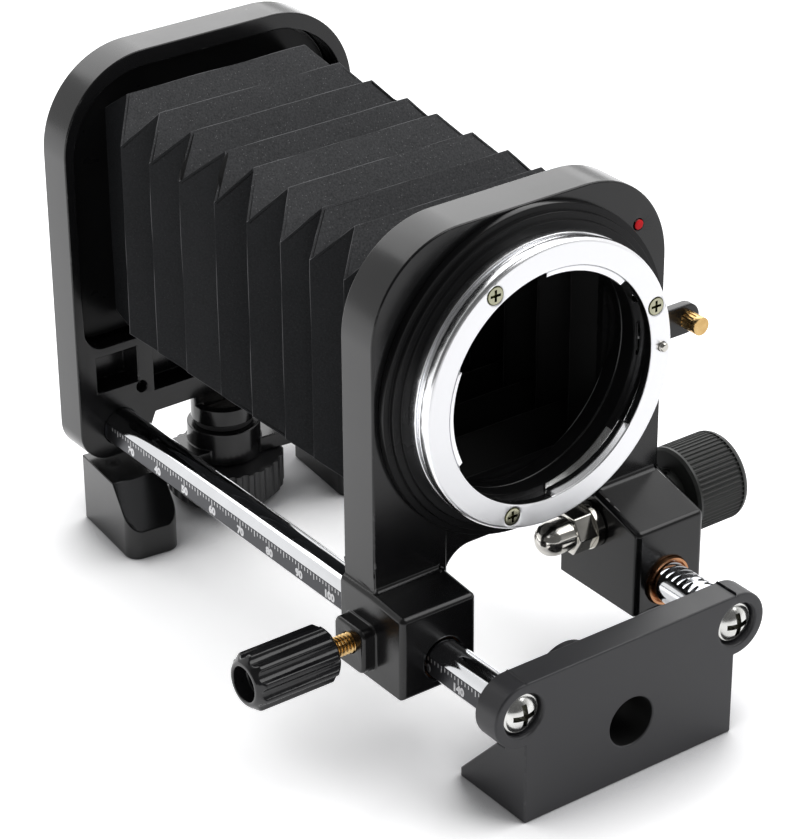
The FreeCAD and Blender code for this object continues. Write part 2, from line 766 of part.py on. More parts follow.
def make_front_standard():
    plate = slab(front_half_width, arch_height, front_high, beyond / 2, standard_corner_radius,
                 front_face, front_back)
    scale_block = prism_x(block_profile(scale_block_front, scale_block_high, scale_block_rise),
                          -scale_block_outer_x, -block_inner_x)
    rack_block = prism_x(block_profile(rack_block_front, rack_block_high, rack_block_rise),
                         block_inner_x, rack_block_outer_x)
    scale_root = block_root(scale_block_front, scale_block_high, scale_block_rise,
                            -scale_block_outer_x, -block_inner_x)
    rack_root = block_root(rack_block_front, rack_block_high, rack_block_rise,
                           block_inner_x, rack_block_outer_x)
    shapes = [plate, rounded_block(scale_block), rounded_block(rack_block), scale_root, rack_root,
              arch_corner()]
    for side in (-1, 1):
        x0, x1 = sorted((side * block_inner_x, side * front_half_width))
        shapes.append(box(x0, x1, front_face, front_back, block_low, arch_height + 2 * beyond))
    boss = box(lock_boss_face, -scale_block_outer_x + beyond,
               lock_y - lock_boss_depth / 2, lock_y + lock_boss_depth / 2,
               lock_height - lock_boss_drop, lock_height - lock_boss_drop + lock_boss_height)
    along_x = [edge for edge in boss.Edges if abs(edge.tangentAt(edge.FirstParameter).x) > 0.99]
    boss = boss.makeFillet(lock_boss_corner_radius, along_x)
    outer = [edge for edge in boss.Edges if edge.BoundBox.XMax < lock_boss_face + 1e-6]
    shapes.append(boss.makeFillet(lock_boss_edge_radius, outer))
    body = join(shapes)
    recess = slab(front_recess_half_width, recess_floor, front_recess_high,
                  recess_low_corner_radius, recess_corner_radius, front_recess_face, front_back + beyond)
    body = body.cut(recess)
    body = body.cut(rod_y(throat_radius, front_face - beyond, front_back, 0, lens_height))
    body = body.cut(rod_y(rail_radius + apart, scale_block_front - beyond, front_back, -rail_x, rail_height))
    for side, start in ((-1, scale_bush_front()), (1, rack_bush_front() - beyond)):
        body = body.cut(rod_y(bush_radius, start, front_back + beyond, side * rail_x, rail_height))
    body = body.cut(pinion_cavity())
    body = body.cut(rod_x(shaft_bush_radius, block_inner_x - beyond, rack_block_outer_x + beyond,
                          pinion_y, pinion_height))
    body = body.cut(rod_x(lock_screw_radius + running, lock_boss_face - beyond, -rail_x,
                          lock_y, lock_height))
    half = arm_height / 2 + apart
    body = body.cut(box(arm_inner_x - apart, front_half_width + beyond, front_face - beyond,
                        arm_recess_face, lens_height - half, lens_height + half))
    body = body.cut(rod_y(spring_pocket_radius(), arm_recess_face - beyond, spring_pocket_end(),
                          lock_pin_x, lens_height))
    body = body.cut(rod_y(index_radius, front_face - beyond, front_face + index_recess,
                          index_x, index_height))
    tapped = []
    for degrees in ring_screw_angles:
        x, z = around_lens(ring_screw_circle, degrees)
        tapped.append(rod_y(small_screw_radius + thread_gap, front_face - beyond, ring_screw_tip() + apart,
                            x, z))
    return cut_all(body, tapped)


def ring_screw_tip():
    return front_face + ring_screw_reach


def spring_pocket_radius():
    return release_spring_radius + release_spring_wire + apart


def spring_pocket_end():
    return front_recess_face - 2 * apart


def make_bushes(side, front, mouth_depth):
    """Front and rear bush of one rail, one each side of the pinion's cavity."""
    x = side * rail_x
    bushes = []
    reach = pinion_outer_radius + apart
    spans = ((front, pinion_y - reach), (pinion_y + reach, front_back))
    for y0, y1 in spans:
        bush = rod_y(bush_radius, y0, y1, x, rail_height)
        bushes.append(bush.cut(rod_y(rail_radius + running, y0 - beyond, y1 + beyond, x, rail_height)))
    if mouth_depth:
        mouth = rod_y(bush_radius - bush_rim, front - beyond, front + mouth_depth, x, rail_height)
        bushes[0] = bushes[0].cut(mouth)
    return Part.makeCompound(bushes)


def make_shaft_bushes():
    cavity_low = rail_x - pinion_width / 2 - apart
    cavity_high = rail_x + pinion_width / 2 + apart
    bushes = []
    for x0, x1 in ((block_inner_x, cavity_low), (cavity_high, rack_block_outer_x)):
        bush = rod_x(shaft_bush_radius, x0, x1, pinion_y, pinion_height)
        hole = rod_x(shaft_radius + running, x0 - beyond, x1 + beyond, pinion_y, pinion_height)
        bushes.append(bush.cut(hole))
    return Part.makeCompound(bushes)


# ---- lens bayonet ----
def make_mount_base():
    shapes = []
    back = front_face
    for radius, length in zip(base_step_radii, base_step_lengths):
        shapes.append(rod_y(radius, back - length, back, 0, lens_height))
        back -= length
    base = join(shapes)
    base = base.cut(rod_y(throat_radius, ring_back - beyond, front_face + beyond, 0, lens_height))
    half = arm_height / 2 + apart
    base = base.cut(box(arm_inner_x - apart, base_step_radii[0] + beyond, ring_back - beyond,
                        front_face + beyond, lens_height - half, lens_height + half))
    return cut_all(base, ring_screw_holes())


def ring_screw_holes():
    holes = []
    for degrees in ring_screw_angles:
        x, z = around_lens(ring_screw_circle, degrees)
        holes.append(rod_y(small_screw_radius + thread_gap, ring_front - beyond, front_face + beyond, x, z))
    return holes


def make_mount_ring():
    groove_front = ring_back - ring_groove_place - ring_groove_width / 2
    groove_back = groove_front + ring_groove_width
    relief = ring_front + lug_depth
    outline = (
        (ring_mouth_radius, ring_front), (ring_radius - ring_chamfer, ring_front),
        (ring_radius, ring_front + ring_chamfer),
        (ring_radius, groove_front), (ring_radius - ring_groove_depth, groove_front),
        (ring_radius - ring_groove_depth, groove_back), (ring_radius, groove_back),
        (ring_radius, ring_back), (ring_relief_radius, ring_back),
        (ring_relief_radius, relief), (ring_mouth_radius, relief),
    )
    ring = ring_piece(outline, 0.0, 360.0)
    lug = ((ring_mouth_radius + beyond / 2, ring_front + lug_chamfer / 2), (ring_mouth_radius, ring_front + lug_chamfer / 4),
           (lug_radius, ring_front + lug_chamfer), (lug_radius, relief),
           (ring_mouth_radius + beyond / 2, relief))
    for start, end in lug_angles:
        ring = ring.fuse(ring_piece(lug, start, end - start))
    ring = ring.removeSplitter()
    for hole in ring_screw_holes():
        ring = ring.cut(hole)
    for degrees in ring_screw_angles:
        x, z = around_lens(ring_screw_circle, degrees)
        cone = Part.makeCone(small_screw_radius + thread_gap, small_screw_head_radius + thread_gap,
                             small_screw_head_height)
        ring = ring.cut(placed(cone, V(x, ring_front + small_screw_head_height, z), V(0, -1, 0)))
    return ring.cut(rod_y(lock_pin_radius + running, ring_front - beyond, ring_back + beyond,
                          lock_pin_x, lens_height))


def make_mount_ring_screws():
    screw = flush_screw(small_screw_head_radius, small_screw_head_height, small_screw_radius,
                        ring_screw_tip() - ring_front)
    screws = []
    for degrees in ring_screw_angles:
        x, z = around_lens(ring_screw_circle, degrees)
        screws.append(placed(screw, V(x, ring_front, z), V(0, -1, 0)))
    return Part.makeCompound(screws)


def make_bayonet_springs():
    """Leaf behind each lug that holds a lens against the ring."""
    inner = throat_radius + thread_gap
    outer = ring_relief_radius - thread_gap
    outline = ((inner, ring_back - leaf_thickness), (outer, ring_back - leaf_thickness),
               (outer, ring_back), (inner, ring_back))
    leaves = []
    for start, end in lug_angles:
        leaves.append(ring_piece(outline, (start + end - leaf_angle) / 2, leaf_angle))
    return Part.makeCompound(leaves)


def make_index_dot():
    return rod_y(index_radius, front_face - index_proud, front_face + index_recess, index_x, index_height)


# ---- lens release ----
def make_release_arm():
    radius = arm_height / 2
    end = arm_end_x - radius
    arm = box(arm_inner_x, end, arm_front, arm_back, lens_height - radius, lens_height + radius)
    arm = join([arm, rod_y(radius, arm_front, arm_back, end, lens_height)])
    arm = arm.cut(rod_y(lock_pin_radius, arm_front - beyond, arm_back + beyond, lock_pin_x, lens_height))
    return arm.cut(rod_y(thumb_pin_neck_radius, arm_front - beyond, arm_back + beyond, end, lens_height))


def make_lock_pin():
    pin = rod_y(lock_pin_radius, ring_front - lock_pin_proud, arm_back, lock_pin_x, lens_height)
    tip = [edge for edge in pin.Edges if abs(edge.CenterOfMass.y - (ring_front - lock_pin_proud)) < 1e-6]
    pin = pin.makeFillet(lock_pin_radius / 2, tip)
    return join([pin, rod_y(lock_pin_tail_radius, arm_back, arm_back + lock_pin_tail, lock_pin_x, lens_height)])


def make_thumb_pin():
    x = arm_end_x - arm_height / 2
    knurl = rod_y(thumb_pin_radius, arm_front - thumb_pin_length, arm_front, x, lens_height)
    neck = rod_y(thumb_pin_neck_radius, arm_front, arm_back, x, lens_height)
    grooves = []
    start = arm_front - thumb_pin_length + thumb_pin_cap
    for number in range(thumb_pin_grooves):
        angle = 2 * math.pi * number / thumb_pin_grooves
        grooves.append(rod_y(thumb_pin_groove_radius, start, arm_front - thumb_pin_collar,
                             x + thumb_pin_radius * math.cos(angle),
                             lens_height + thumb_pin_radius * math.sin(angle)))
    return cut_all(join([knurl, neck]), grooves)


def make_release_spring():
    length = spring_pocket_end() - arm_back - 2 * release_spring_wire
    pitch = length / release_spring_turns
    helix = Part.makeHelix(pitch, length, release_spring_radius)
    section = Part.Wire(Part.makeCircle(release_spring_wire, V(release_spring_radius, 0, 0), V(0, 1, 0)))
    coil = Part.Wire(helix.Edges).makePipeShell([section], True, True)
    return placed(coil, V(lock_pin_x, arm_back + release_spring_wire, lens_height), V(0, 1, 0))


# ---- scale rail lock ----
def make_lock_pad():
    return rod_x(lock_screw_radius, lock_pad_back, lock_pad_tip, lock_y, lock_height)


def make_lock_screw():
    inside = lock_knob_face - lock_knob_neck - lock_knob_grip / 2
    return rod_x(lock_screw_radius, inside, lock_pad_back - thread_gap, lock_y, lock_height)


def make_lock_knob():
    origin = V(lock_knob_face, lock_y, lock_height)
    end = lock_knob_neck + lock_knob_grip + lock_knob_chamfer
    outline = (
        (0, 0), (lock_knob_neck_radius, 0), (lock_knob_radius, lock_knob_neck),
        (lock_knob_radius, end - lock_knob_chamfer), (lock_knob_radius - lock_knob_chamfer, end),
        (lock_knob_end_recess_radius, end), (lock_knob_end_recess_radius, end - lock_knob_end_recess),
        (0, end - lock_knob_end_recess),
    )
    knob = turned(outline, origin, V(-1, 0, 0), V(0, 0, 1))
    flutes = []
    for number in range(lock_knob_flutes):
        angle = 2 * math.pi * number / lock_knob_flutes
        reach = lock_knob_radius + 0.45 * lock_knob_flute_radius
        flutes.append(rod_x(lock_knob_flute_radius, lock_knob_face - end - beyond, lock_knob_face + beyond,
                            lock_y + reach * math.cos(angle), lock_height + reach * math.sin(angle)))
    knob = cut_all(knob, flutes)
    bore = rod_x(lock_screw_radius, lock_knob_face - lock_knob_neck - lock_knob_grip / 2,
                 lock_knob_face + beyond, lock_y, lock_height)
    return knob.cut(bore)


# ---- focus drive ----
def involute(base, radius):
    """Angle that the involute of a base circle has swept at a radius."""
    roll = math.sqrt((radius / base) ** 2 - 1)
    return roll - math.atan(roll)


def make_focus_pinion():
    pitch_radius = pinion_pitch_radius
    base = pitch_radius * math.cos(pressure_angle)
    root = pitch_radius - 1.25 * gear_module
    half_tooth = (math.pi * gear_module / 2 - gear_backlash) / 2 / pitch_radius
    at_pitch = involute(base, pitch_radius)
    steps = 5
    flank = []
    for step in range(steps):
        radius = base + (pinion_outer_radius - base) * step / (steps - 1)
        flank.append((radius, half_tooth + at_pitch - involute(base, radius)))
    points = []
    # The middle of a tooth space points down at the rack.
    for number in range(pinion_teeth):
        middle = -math.pi / 2 + 2 * math.pi * (number + 0.5) / pinion_teeth
        outline = [(root, -flank[0][1])] + [(radius, -turn) for radius, turn in flank]
        outline += [(radius, turn) for radius, turn in reversed(flank)] + [(root, flank[0][1])]
        for radius, turn in outline:
            points.append((pinion_y + radius * math.cos(middle + turn),
                           pinion_height + radius * math.sin(middle + turn)))
    gear = prism_x(points, rail_x - pinion_width / 2, rail_x + pinion_width / 2)
    return gear.cut(rod_x(shaft_radius, rail_x - pinion_width, rail_x + pinion_width, pinion_y, pinion_height))


def nut_back():
    return block_inner_x - apart - collar_length


def make_focus_shaft():
    return rod_x(shaft_radius, nut_back() - nut_length, knob_outer_x - knob_end_wall, pinion_y, pinion_height)


def make_shaft_collar():
    collar = rod_x(collar_radius, nut_back(), block_inner_x - apart, pinion_y, pinion_height)
    return collar.cut(rod_x(shaft_radius, nut_back() - beyond, block_inner_x, pinion_y, pinion_height))


def make_acorn_nut():
    back = nut_back()
    front = back - nut_length
    corner = nut_across_flats / math.sqrt(3)
    points = []
    for number in range(6):
        angle = math.radians(60.0 * number)
        points.append((pinion_y + corner * math.cos(angle), pinion_height + corner * math.sin(angle)))
    tip = front - nut_barrel_length
    barrel = rod_x(nut_dome_radius, tip, front + beyond / 2, pinion_y, pinion_height)
    dome = Part.makeSphere(nut_dome_radius, V(tip, pinion_y, pinion_height))
    nut = join([prism_x(points, front, back), barrel, dome])
    return nut.cut(rod_x(shaft_radius, front, back + beyond, pinion_y, pinion_height))


def make_focus_knob():
    origin = V(knob_inner_x, pinion_y, pinion_height)
    length = knob_outer_x - knob_inner_x
    hub = rack_block_outer_x + apart - knob_inner_x
    edge = knob_edge_radius
    outline = [(shaft_radius, hub), (knob_hub_radius, hub), (knob_hub_radius, 0),
               (knob_radius - knob_inner_chamfer, 0), (knob_radius, knob_inner_chamfer)]
    for step in range(7):
        angle = math.radians(90.0 * step / 6)
        outline.append((knob_radius - edge + edge * math.cos(angle), length - edge + edge * math.sin(angle)))
    outline += [(0, length), (0, length - knob_end_wall), (shaft_radius, length - knob_end_wall)]
    knob = turned(outline, origin, V(1, 0, 0), V(0, 0, 1))
    grooves = []
    for number in range(knob_ribs):
        angle = 2 * math.pi * number / knob_ribs
        grooves.append(rod_x(knob_rib_depth, knob_inner_x + knob_rib_start, knob_outer_x - edge,
                             pinion_y + knob_radius * math.cos(angle),
                             pinion_height + knob_radius * math.sin(angle)))
    knob = cut_all(knob, grooves)
    return knob.cut(knob_screw_hole())


def knob_screw_x():
    return knob_inner_x - (knob_inner_x - rack_block_outer_x - apart) / 2


def knob_screw_hole():
    return rod_z(knob_screw_radius, pinion_height + shaft_radius - beyond,
                 pinion_height + knob_hub_radius + beyond, knob_screw_x(), pinion_y)


def make_knob_set_screw():
    screw = grub_screw(knob_screw_radius, knob_hub_radius - shaft_radius - apart)
    return placed(screw, V(knob_screw_x(), pinion_y, pinion_height + shaft_radius), V(0, 0, 1))


# ---- bellows ----
def loop(half_width, low, high, y, inset=0.0):
    x = half_width - inset
    corners = [V(-x, y, low + inset), V(x, y, low + inset), V(x, y, high - inset), V(-x, y, high - inset)]
    return Part.makePolygon(corners + corners[:1])


def bellows_loops(inset):
    loops = [loop(end_half_width, end_low, end_high, rear_frame_front, inset)]
    for number in range(pleat_count):
        y = rear_frame_front - first_ridge - number * pleat_pitch
        loops.append(loop(ridge_half_width, ridge_low, ridge_high, y, inset))
        if number < pleat_count - 1:
            loops.append(loop(side_half_width, side_low, side_high, y - pleat_pitch / 2, inset))
    loops.append(loop(end_half_width, end_low, end_high, front_frame_back, inset))
    return loops


def make_bellows():
    outside = Part.makeLoft(bellows_loops(0.0), True, True)
    inside = Part.makeLoft(bellows_loops(bellows_wall), True, True)
    return outside.cut(inside)


def make_bellows_frame(half_width, low, high, y0, y1):
    frame = slab(half_width - frame_margin, low + frame_margin, high - frame_margin,
                 recess_low_corner_radius - frame_margin, recess_corner_radius - frame_margin, y0, y1)
    return frame.cut(box(-end_half_width + bellows_wall, end_half_width - bellows_wall, y0 - beyond,
                         y1 + beyond, end_low + bellows_wall, end_high - bellows_wall))


# ---- every piece, one file each ----
pieces = {
    "scale_rail": make_scale_rail(),
    "rack_rail": make_rack_rail(),
    "front_plate": make_front_plate(),
    "front_plate_screws": make_front_plate_screws(),
    "rod_set_screw": make_rod_set_screw(),
    "rear_standard": make_rear_standard(),
    "rail_grub_screws": make_rail_grub_screws(),
    "bellows_rear_frame": make_bellows_frame(rear_recess_half_width, recess_floor,
                                             rear_recess_high, rear_frame_front, recess_depth),
    "camera_mount": make_camera_mount(),
    "camera_mount_screws": make_camera_mount_screws(),
    "tripod_socket": make_tripod_socket(),
    "tripod_socket_grub_screw": make_stud_grub_screw(),
    "swivel_foot": make_swivel_foot(),
    "swivel_washer": make_swivel_washer(),
    "tripod_wheel": make_tripod_wheel(),
    "front_standard": make_front_standard(),
    "scale_rail_bushes": make_bushes(-1, scale_bush_front(), 0.0),
    "rack_rail_bushes": make_bushes(1, rack_bush_front(), bush_mouth_depth),
    "mount_base": make_mount_base(),
    "mount_ring": make_mount_ring(),
    "mount_ring_screws": make_mount_ring_screws(),
    "bayonet_springs": make_bayonet_springs(),
    "index_dot": make_index_dot(),
    "bellows_front_frame": make_bellows_frame(front_recess_half_width, recess_floor,
                                              front_recess_high, front_recess_face, front_frame_back),
    "release_arm": make_release_arm(),
    "lens_lock_pin": make_lock_pin(),
    "release_thumb_pin": make_thumb_pin(),
    "release_spring": make_release_spring(),
    "lock_pad": make_lock_pad(),
    "lock_screw": make_lock_screw(),
    "lock_knob": make_lock_knob(),
    "focus_shaft": make_focus_shaft(),
    "focus_pinion": make_focus_pinion(),
    "focus_shaft_bushes": make_shaft_bushes(),
    "shaft_collar": make_shaft_collar(),
    "acorn_nut": make_acorn_nut(),
    "focus_knob": make_focus_knob(),
    "knob_set_screw": make_knob_set_screw(),
    "bellows": make_bellows(),
}

for name, shape in pieces.items():
    shape.exportStep("parts/" + name + ".step")
    bounds = shape.BoundBox
    print(name, len(shape.Solids), shape.isValid(), round(shape.Volume, 2),
          [round(value, 2) for value in (bounds.XMin, bounds.XMax, bounds.YMin, bounds.YMax,
                                         bounds.ZMin, bounds.ZMax)])
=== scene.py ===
import json
import math
import bmesh
import bpy
from mathutils import Matrix, Vector, noise

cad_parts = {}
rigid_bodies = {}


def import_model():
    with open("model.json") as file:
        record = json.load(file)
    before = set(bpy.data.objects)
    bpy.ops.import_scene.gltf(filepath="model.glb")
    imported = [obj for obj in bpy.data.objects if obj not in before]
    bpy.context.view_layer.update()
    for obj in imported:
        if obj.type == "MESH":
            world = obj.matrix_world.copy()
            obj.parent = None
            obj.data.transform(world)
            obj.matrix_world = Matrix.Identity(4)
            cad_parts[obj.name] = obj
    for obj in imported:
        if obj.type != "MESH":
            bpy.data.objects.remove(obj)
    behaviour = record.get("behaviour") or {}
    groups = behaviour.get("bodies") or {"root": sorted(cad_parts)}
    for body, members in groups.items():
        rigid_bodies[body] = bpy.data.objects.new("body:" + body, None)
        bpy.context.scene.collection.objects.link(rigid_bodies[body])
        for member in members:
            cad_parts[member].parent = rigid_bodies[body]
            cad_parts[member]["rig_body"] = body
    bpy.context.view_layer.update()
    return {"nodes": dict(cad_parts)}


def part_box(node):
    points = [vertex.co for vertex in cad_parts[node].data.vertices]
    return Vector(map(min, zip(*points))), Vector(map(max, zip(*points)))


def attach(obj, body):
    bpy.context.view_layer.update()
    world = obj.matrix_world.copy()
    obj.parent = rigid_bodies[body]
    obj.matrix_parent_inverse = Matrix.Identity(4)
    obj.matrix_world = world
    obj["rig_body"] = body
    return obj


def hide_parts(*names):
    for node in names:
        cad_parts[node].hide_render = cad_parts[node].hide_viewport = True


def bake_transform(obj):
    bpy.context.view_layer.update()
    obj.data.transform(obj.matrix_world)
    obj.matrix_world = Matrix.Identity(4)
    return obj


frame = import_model()

# ---- camera ----
# In front of the unit, to its left and above, looking down along the rails. Its long lens is
# shifted a little, so that the unit fills the frame.
camera_place = Vector((-0.31285, -0.48979, 0.33168))
camera_turn = math.radians(-36.07)
camera_rise = math.radians(28.67)
camera_roll = math.radians(-0.48)
back = Vector((math.sin(camera_turn) * math.cos(camera_rise),
               -math.cos(camera_turn) * math.cos(camera_rise), math.sin(camera_rise)))
level = Vector((0, 0, 1)).cross(back).normalized()
upright = back.cross(level)
right = level * math.cos(camera_roll) + upright * math.sin(camera_roll)
above = upright * math.cos(camera_roll) - level * math.sin(camera_roll)
lens = bpy.data.cameras.new("camera")
lens.sensor_fit = "HORIZONTAL"
lens.sensor_width = 36.0
lens.lens = 140.07
lens.shift_x = 0.0113
lens.shift_y = 0.0100
lens.clip_start = 0.01
lens.clip_end = 20.0
camera = bpy.data.objects.new("camera", lens)
camera_axes = Matrix((right, above, back)).transposed().to_4x4()
camera.matrix_world = Matrix.Translation(camera_place) @ camera_axes
bpy.context.scene.collection.objects.link(camera)
bpy.context.scene.camera = camera
bpy.context.scene.view_settings.view_transform = "Standard"


# ---- floor, backdrop and lamps ----
# White paper under the unit, white all round it, a large soft lamp behind and a weaker one above.
# The paper also glows where it is seen straight or in mirrors, and the glow is dimmed where
# the unit stands close over it: painted shade.
def blank_material(name):
    material = bpy.data.materials.new(name)
    material.use_nodes = True
    tree = material.node_tree
    tree.nodes.clear()
    return material, tree, tree.nodes.new("ShaderNodeOutputMaterial")


def join(tree, start, end):
    tree.links.new(start, end)


def feed(tree, socket, value):
    """A number is set on the socket; an output is linked to it."""
    if isinstance(value, (int, float)):
        socket.default_value = value
    else:
        join(tree, value, socket)


def math_node(tree, operation, first, second=0.5, clamp=False):
    node = tree.nodes.new("ShaderNodeMath")
    node.operation = operation
    node.use_clamp = clamp
    feed(tree, node.inputs[0], first)
    feed(tree, node.inputs[1], second)
    return node.outputs[0]


def dot_node(tree, vector, other):
    """Dot product of a vector with another one, or with a fixed direction."""
    node = tree.nodes.new("ShaderNodeVectorMath")
    node.operation = "DOT_PRODUCT"
    join(tree, vector, node.inputs[0])
    if isinstance(other, tuple):
        node.inputs[1].default_value = other
    else:
        join(tree, other, node.inputs[1])
    return node.outputs["Value"]


def ranged(tree, value, value_low, value_high, low, high):
    """A value mapped from one range to another, and held at its ends."""
    node = tree.nodes.new("ShaderNodeMapRange")
    feed(tree, node.inputs["Value"], value)
    feed(tree, node.inputs["From Min"], value_low)
    feed(tree, node.inputs["From Max"], value_high)
    feed(tree, node.inputs["To Min"], low)
    feed(tree, node.inputs["To Max"], high)
    return node.outputs[0]


def object_place(tree):
    return tree.nodes.new("ShaderNodeTexCoord").outputs["Object"]


def link_to_scene(name, data):
    """A mesh or lamp becomes an object at the origin."""
    made = bpy.data.objects.new(name, data)
    bpy.context.scene.collection.objects.link(made)
    return made


def mesh_object(name, bm):
    """A finished bmesh becomes a mesh object at the origin."""
    mesh = bpy.data.meshes.new(name)
    bm.to_mesh(mesh)
    bm.free()
    return link_to_scene(name, mesh)


def soft_lamp(name, place, width, height, watts):
    """Rectangular lamp turned towards the middle of the unit."""
    data = bpy.data.lights.new(name, "AREA")
    data.shape = "RECTANGLE"
    data.size = width
    data.size_y = height
    data.energy = watts
    lamp = link_to_scene(name, data)
    lamp.location = place
    lamp.rotation_euler = (unit_middle - Vector(place)).to_track_quat("-Z", "Y").to_euler()


floor_half_size = 5.0
paper_colour = (0.86, 0.86, 0.875, 1)
paper, tree, out = blank_material("white_paper")
diffuse = tree.nodes.new("ShaderNodeBsdfDiffuse")
diffuse.inputs["Color"].default_value = paper_colour
# The glow fades where the unit stands close over the paper: painted contact shade.
open_sky = tree.nodes.new("ShaderNodeAmbientOcclusion")
open_sky.samples = 8
open_sky.inputs["Distance"].default_value = 0.03
clear_of_unit = ranged(tree, open_sky.outputs["AO"], 0.52, 0.93, 0.0, 0.80)
# In what metal and gloss paint mirror, the paper's glow is painted brighter behind on the left
# than in front on the right: a painted reflection.
path = tree.nodes.new("ShaderNodeLightPath")
to_front_right = dot_node(tree, object_place(tree), (0.6, -0.8, 0))
fall = ranged(tree, to_front_right, -0.04, 0.16, 1.45, 0.45)
mirrored = math_node(tree, "MULTIPLY", path.outputs["Is Glossy Ray"], fall)
seen = math_node(tree, "MAXIMUM", path.outputs["Is Camera Ray"], mirrored)
seen = math_node(tree, "MAXIMUM", seen, path.outputs["Is Transmission Ray"])
glow = tree.nodes.new("ShaderNodeEmission")
glow.inputs["Color"].default_value = (1, 1, 1, 1)
join(tree, math_node(tree, "MULTIPLY", seen, clear_of_unit), glow.inputs["Strength"])
both = tree.nodes.new("ShaderNodeAddShader")
join(tree, diffuse.outputs[0], both.inputs[0])
join(tree, glow.outputs[0], both.inputs[1])
join(tree, both.outputs[0], out.inputs[0])
bm = bmesh.new()
bmesh.ops.create_grid(bm, x_segments=1, y_segments=1, size=floor_half_size)
floor = mesh_object("floor", bm)
floor.data.materials.append(paper)

# The room is white all round the paper. Only in what bright metal and gloss paint mirror is it
# dark above and in front: a painted reflection.
dark_direction = (-0.42, -0.70, 0.58)
plain_light = 0.30
darkest_mirrored = 0.12
studio = bpy.data.worlds.new("studio")
studio.use_nodes = True
tree = studio.node_tree
sky = tree.nodes["Background"]
sky.inputs["Color"].default_value = (1, 1, 1, 1)
path = tree.nodes.new("ShaderNodeLightPath")
to_dark = dot_node(tree, tree.nodes.new("ShaderNodeTexCoord").outputs["Generated"], dark_direction)
shade = ranged(tree, to_dark, 0.0, 0.6, 1.0, darkest_mirrored)
indirect = ranged(tree, path.outputs["Is Glossy Ray"], 0.0, 1.0, plain_light, shade)
straight = math_node(tree, "MAXIMUM", path.outputs["Is Camera Ray"],
                     path.outputs["Is Transmission Ray"])
join(tree, ranged(tree, straight, 0.0, 1.0, indirect, 1.0), sky.inputs["Strength"])
bpy.context.scene.world = studio
unit_middle = Vector((0, -0.05, 0.05))
soft_lamp("lamp_behind", (0.43, 0.93, 0.80), 1.8, 0.95, 11.0)
soft_lamp("lamp_above", (0.52, -0.40, 0.90), 0.8, 0.8, 5.0)


# ---- rear standard ----
# Die-cast plate with a recess for the bellows and pockets in its web, painted semi-gloss
# black. Its edges are rounded by the die, and the paint has a faint orange peel.
def shader_group(name, inputs, output_names):
    """Node group with named inputs (name, default) and named outputs."""
    group = bpy.data.node_groups.new(name, "ShaderNodeTree")
    for label, value in inputs:
        socket = group.interface.new_socket(label, in_out="INPUT", socket_type="NodeSocketFloat")
        socket.default_value = value
    for label in output_names:
        group.interface.new_socket(label, in_out="OUTPUT", socket_type="NodeSocketFloat")
    return group, group.nodes.new("NodeGroupInput"), group.nodes.new("NodeGroupOutput")


def noise_node(tree, coordinates, scale, detail=3.0):
    node = tree.nodes.new("ShaderNodeTexNoise")
    node.inputs["Detail"].default_value = detail
    node.inputs["Roughness"].default_value = 0.55
    join(tree, coordinates, node.inputs["Vector"])
    feed(tree, node.inputs["Scale"], scale)
    return node.outputs["Fac"]


# Fine skin of a paint or a moulding: a fine grain and a soft mottle.
skin, entry, leave = shader_group("surface_skin", [("Scale", 900.0), ("Mottle", 60.0)],
                                  ["Grain", "Mottling"])
place = object_place(skin)
join(skin, noise_node(skin, place, entry.outputs["Scale"]), leave.inputs["Grain"])
join(skin, noise_node(skin, place, entry.outputs["Mottle"], 4.0), leave.inputs["Mottling"])

# Edges that are rubbed or chipped: a bevelled normal against the plain one, broken by noise.
chip_threshold = 0.56
chip_gain = 90.0
wear, entry, leave = shader_group(
    "edge_wear", [("Radius", 0.0004), ("Chips", 420.0), ("Amount", 0.5)], ["Worn"])
rounded = wear.nodes.new("ShaderNodeBevel")
rounded.samples = 4
join(wear, entry.outputs["Radius"], rounded.inputs["Radius"])
facing = wear.nodes.new("ShaderNodeNewGeometry").outputs["Normal"]
edge = math_node(wear, "SUBTRACT", 1.0, dot_node(wear, rounded.outputs[0], facing), True)
broken = noise_node(wear, object_place(wear), entry.outputs["Chips"], 5.0)
patches = math_node(wear, "SUBTRACT", broken, chip_threshold, True)
edge = math_node(wear, "MULTIPLY", math_node(wear, "MULTIPLY", edge, patches), chip_gain)
join(wear, math_node(wear, "MULTIPLY", edge, entry.outputs["Amount"], True), leave.inputs["Worn"])

# Specks of dust: small round dots, one in a few cells.
speck_radius = 0.16
dust, entry, leave = shader_group("dust_specks", [("Scale", 700.0), ("Amount", 0.2)], ["Specks"])
cells = dust.nodes.new("ShaderNodeTexVoronoi")
join(dust, object_place(dust), cells.inputs["Vector"])
join(dust, entry.outputs["Scale"], cells.inputs["Scale"])
near = math_node(dust, "LESS_THAN", cells.outputs["Distance"], speck_radius)
chosen = math_node(dust, "LESS_THAN", cells.outputs["Color"], entry.outputs["Amount"])
join(dust, math_node(dust, "MULTIPLY", near, chosen), leave.inputs["Specks"])


def use_group(tree, group, **values):
    node = tree.nodes.new("ShaderNodeGroup")
    node.node_tree = group
    for label, value in values.items():
        node.inputs[label].default_value = value
    return node.outputs


def mix_colour(tree, factor, first, second):
    node = tree.nodes.new("ShaderNodeMix")
    node.data_type = "RGBA"
    join(tree, factor, node.inputs["Factor"])
    for socket, value in ((node.inputs[6], first), (node.inputs[7], second)):
        if isinstance(value, tuple):
            socket.default_value = (*value, 1)
        else:
            join(tree, value, socket)
    return node.outputs[2]


def between(tree, value, low, high):
    """The middle range of a noise, where nearly all of it lies, spread from low to high."""
    return ranged(tree, value, 0.3, 0.7, low, high)


def bump(tree, height, depth, normal=None):
    node = tree.nodes.new("ShaderNodeBump")
    node.inputs["Distance"].default_value = depth
    join(tree, height, node.inputs["Height"])
    if normal:
        join(tree, normal, node.inputs["Normal"])
    return node.outputs[0]


worn_colour = (0.25, 0.25, 0.25)
speck_colour = (0.2, 0.2, 0.2)


